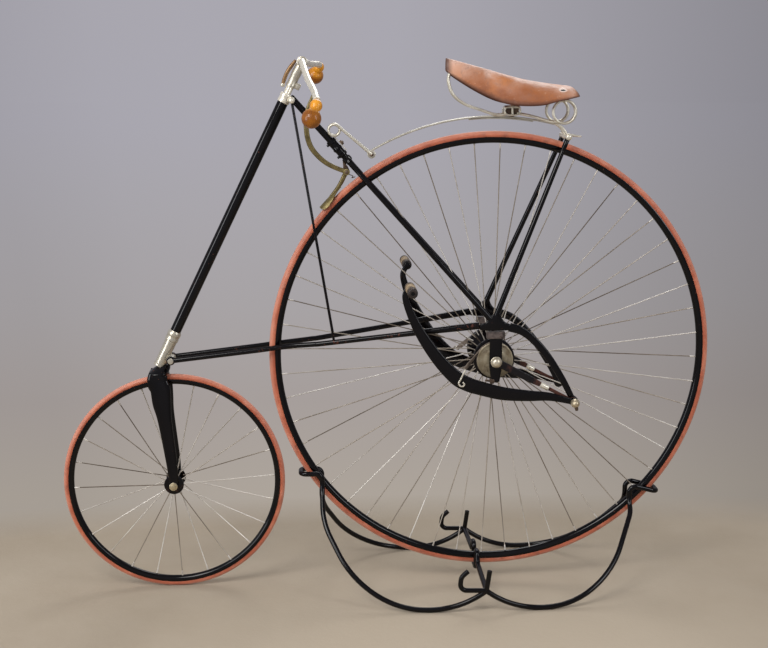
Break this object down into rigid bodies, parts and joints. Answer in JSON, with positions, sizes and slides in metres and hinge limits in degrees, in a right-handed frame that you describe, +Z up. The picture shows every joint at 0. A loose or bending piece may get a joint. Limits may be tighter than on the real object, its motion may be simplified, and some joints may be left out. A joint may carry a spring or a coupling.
{
  "type": "lever-driven high-wheel bicycle on a display stand",
  "caption": "High-wheel bicycle with a small steered wheel in front, a tall lever-driven wheel behind, sprung saddle and spoon brake, held in a bent round-bar stand.",
  "frame": {"origin": "on the floor under the middle of the machine in its stand", "axes": "-X is the way it rides, -Y is the rider's left, +Z up"},
  "size_m": [1.7902, 0.6959, 1.4632],
  "materials": {
    "red_tyre": "faded brick red rubber",
    "black_enamel": "old black enamel with brown chips",
    "nickel": "aged nickel plate",
    "steel": "dull steel wire",
    "brass": "dark olive brass",
    "saddle_hide": "worn tan leather",
    "strap_hide": "grey brown leather",
    "grip_wood": "varnished honey wood",
    "pedal_rubber": "tan rubber",
    "pedal_cap": "dark blued steel"
  },
  "bodies": {
    "frame": {"front_tube": "black_enamel", "head_lug": "nickel", "top_joint": "nickel", "backbone": "black_enamel", "clamp_sleeve": "black_enamel", "branches": "black_enamel", "lower_tubes": "black_enamel", "head_braces": "black_enamel", "gussets": "black_enamel", "hangers": "black_enamel", "hanger_blocks": "nickel", "rear_arches": "black_enamel", "radius_links": "black_enamel", "pivot_pins": "black_enamel", "seat_stays": "black_enamel", "axle": "steel", "axle_caps": "nickel", "leaf_spring": "nickel", "stay_bracket": "nickel", "front_link": "nickel", "saddle_clamp": "nickel", "saddle_wires": "nickel", "saddle_leather": "saddle_hide", "brake_bracket": "black_enamel", "brake_lever": "brass", "brake_spoon": "brass", "stand_left": "black_enamel", "stand_right": "black_enamel", "stand_front_loop": "black_enamel", "stand_rear_loop": "black_enamel", "stand_crossbar": "black_enamel", "strap_left": "strap_hide", "strap_right": "strap_hide"},
    "drive_wheel": {"drive_tyre": "red_tyre", "drive_rim": "black_enamel", "drive_spokes": "steel", "drive_hub": "black_enamel"},
    "drum_left": {"drum_left": "nickel", "strap_wrap_left": "strap_hide"},
    "drum_right": {"drum_right": "nickel", "strap_wrap_right": "strap_hide"},
    "lever_left": {"lever_left": "black_enamel", "strap_hook_left": "steel"},
    "lever_right": {"lever_right": "black_enamel", "strap_hook_right": "steel"},
    "pedal_left": {"pedal_caps_left": "pedal_cap", "pedal_rubber_left": "pedal_rubber"},
    "pedal_right": {"pedal_caps_right": "pedal_cap", "pedal_rubber_right": "pedal_rubber"},
    "steering": {"fork": "black_enamel", "steering_rod": "nickel", "front_axle": "nickel", "stem": "nickel", "handlebar": "nickel", "grips": "grip_wood", "signal_lever": "brass"},
    "front_wheel": {"front_tyre": "red_tyre", "front_rim": "black_enamel", "front_spokes": "steel", "front_hub": "black_enamel"}
  },
  "joints": [
    {"name": "steering_turn", "type": "hinge", "parent": "frame", "child": "steering", "pos_m": [-0.48371, 0, 0.92035], "axis": [0.4384, 0, 0.8988], "range_deg": [-45, 45]},
    {"name": "front_wheel_spin", "type": "hinge", "parent": "steering", "child": "front_wheel", "pos_m": [-0.59035, 0, 0.3048], "axis": [0, -1, 0], "continuous": true},
    {"name": "drive_wheel_spin", "type": "hinge", "parent": "frame", "child": "drive_wheel", "pos_m": [0.28555, 0, 0.6566], "axis": [0, -1, 0], "continuous": true},
    {"name": "lever_left_stroke", "type": "hinge", "parent": "frame", "child": "lever_left", "pos_m": [0.49855, 0, 0.5446], "axis": [0, -1, 0], "range_deg": [0, 30], "stiffness_Nm_per_rad": 8, "springref_deg": -63.03, "deforming": ["strap_left"]},
    {"name": "lever_right_stroke", "type": "hinge", "parent": "frame", "child": "lever_right", "pos_m": [0.49855, 0, 0.5446], "axis": [0, -1, 0], "range_deg": [0, 30], "stiffness_Nm_per_rad": 8, "springref_deg": -63.03, "deforming": ["strap_right"]},
    {"name": "drum_left_turn", "type": "hinge", "parent": "frame", "child": "drum_left", "pos_m": [0.28555, 0, 0.6566], "axis": [0, -1, 0], "range_deg": [0, 175]},
    {"name": "drum_right_turn", "type": "hinge", "parent": "frame", "child": "drum_right", "pos_m": [0.28555, 0, 0.6566], "axis": [0, -1, 0], "range_deg": [0, 175]},
    {"name": "pedal_left_spin", "type": "hinge", "parent": "lever_left", "child": "pedal_left", "pos_m": [0.05055, -0.18, 0.8656], "axis": [0, -1, 0], "continuous": true},
    {"name": "pedal_right_spin", "type": "hinge", "parent": "lever_right", "child": "pedal_right", "pos_m": [0.06438, 0.18, 0.88408], "axis": [0, -1, 0], "continuous": true}
  ],
  "couplings": [
    {"joint": "drum_left_turn", "follows": "lever_left_stroke", "ratio": 5.6},
    {"joint": "drum_right_turn", "follows": "lever_right_stroke", "ratio": 5.6}
  ]
}
